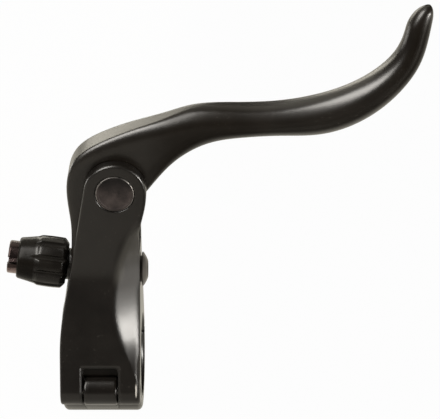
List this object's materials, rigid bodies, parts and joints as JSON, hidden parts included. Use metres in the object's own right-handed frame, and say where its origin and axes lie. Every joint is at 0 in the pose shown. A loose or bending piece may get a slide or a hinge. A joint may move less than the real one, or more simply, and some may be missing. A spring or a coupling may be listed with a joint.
{
  "type": "bicycle brake lever",
  "caption": "Bar-top brake lever: forked clamp body with a hinged band, curved sprung blade on a pivot, and a ribbed barrel adjuster for the cable housing.",
  "frame": {"origin": "middle of the handlebar clamp's bore", "axes": "+X along the handlebar towards the blade's free end, +Z from the bar to the pivot, +Y along the pivot away from the finished front face"},
  "size_m": [0.1241, 0.0465, 0.1327],
  "materials": {
    "body_paint": "satin black",
    "lever_paint": "satin black",
    "dark_anodised": "black anodised",
    "knob_plastic": "moulded black",
    "black_steel": "black oxide",
    "steel": "plain turned steel",
    "spring_steel": "drawn wire",
    "bearing_plastic": "moulded acetal"
  },
  "bodies": {
    "body": {"clamp_body": "body_paint", "hinge_pin": "steel", "pivot_pin": "dark_anodised", "pivot_screw": "black_steel", "pivot_washer": "steel", "thrust_washer_front": "bearing_plastic", "thrust_washer_rear": "bearing_plastic", "return_spring": "spring_steel", "housing_stop": "dark_anodised"},
    "band": {"clamp_band": "body_paint", "clamp_bolt": "black_steel", "clamp_washer": "steel"},
    "lever": {"brake_lever": "lever_paint", "lever_bush": "bearing_plastic"},
    "knob": {"adjuster_knob": "knob_plastic"},
    "sleeve": {"adjuster_sleeve": "dark_anodised"}
  },
  "joints": [
    {"name": "lever_pivot", "type": "hinge", "parent": "body", "child": "lever", "pos_m": [0.0054, 0, 0.0605], "axis": [0, 1, 0], "range_deg": [0, 25], "stiffness_Nm_per_rad": 0.6, "springref_deg": -28.65, "deforming": ["return_spring"]},
    {"name": "adjuster_turn", "type": "hinge", "parent": "lever", "child": "knob", "pos_m": [-0.0086, 0, 0.0321], "axis": [-0.9898, 0, 0.1426], "range_deg": [-720, 1440]},
    {"name": "adjuster_travel", "type": "slide", "parent": "lever", "child": "sleeve", "axis": [-0.9898, 0, 0.1426], "range_m": [-0.002, 0.004]},
    {"name": "clamp_hinge", "type": "hinge", "parent": "body", "child": "band", "pos_m": [0, -0.0175, -0.0015], "axis": [-1, 0, 0], "range_deg": [0, 100]}
  ],
  "couplings": [
    {"joint": "adjuster_turn", "follows": "adjuster_travel", "rad_per_m": 6283}
  ]
}
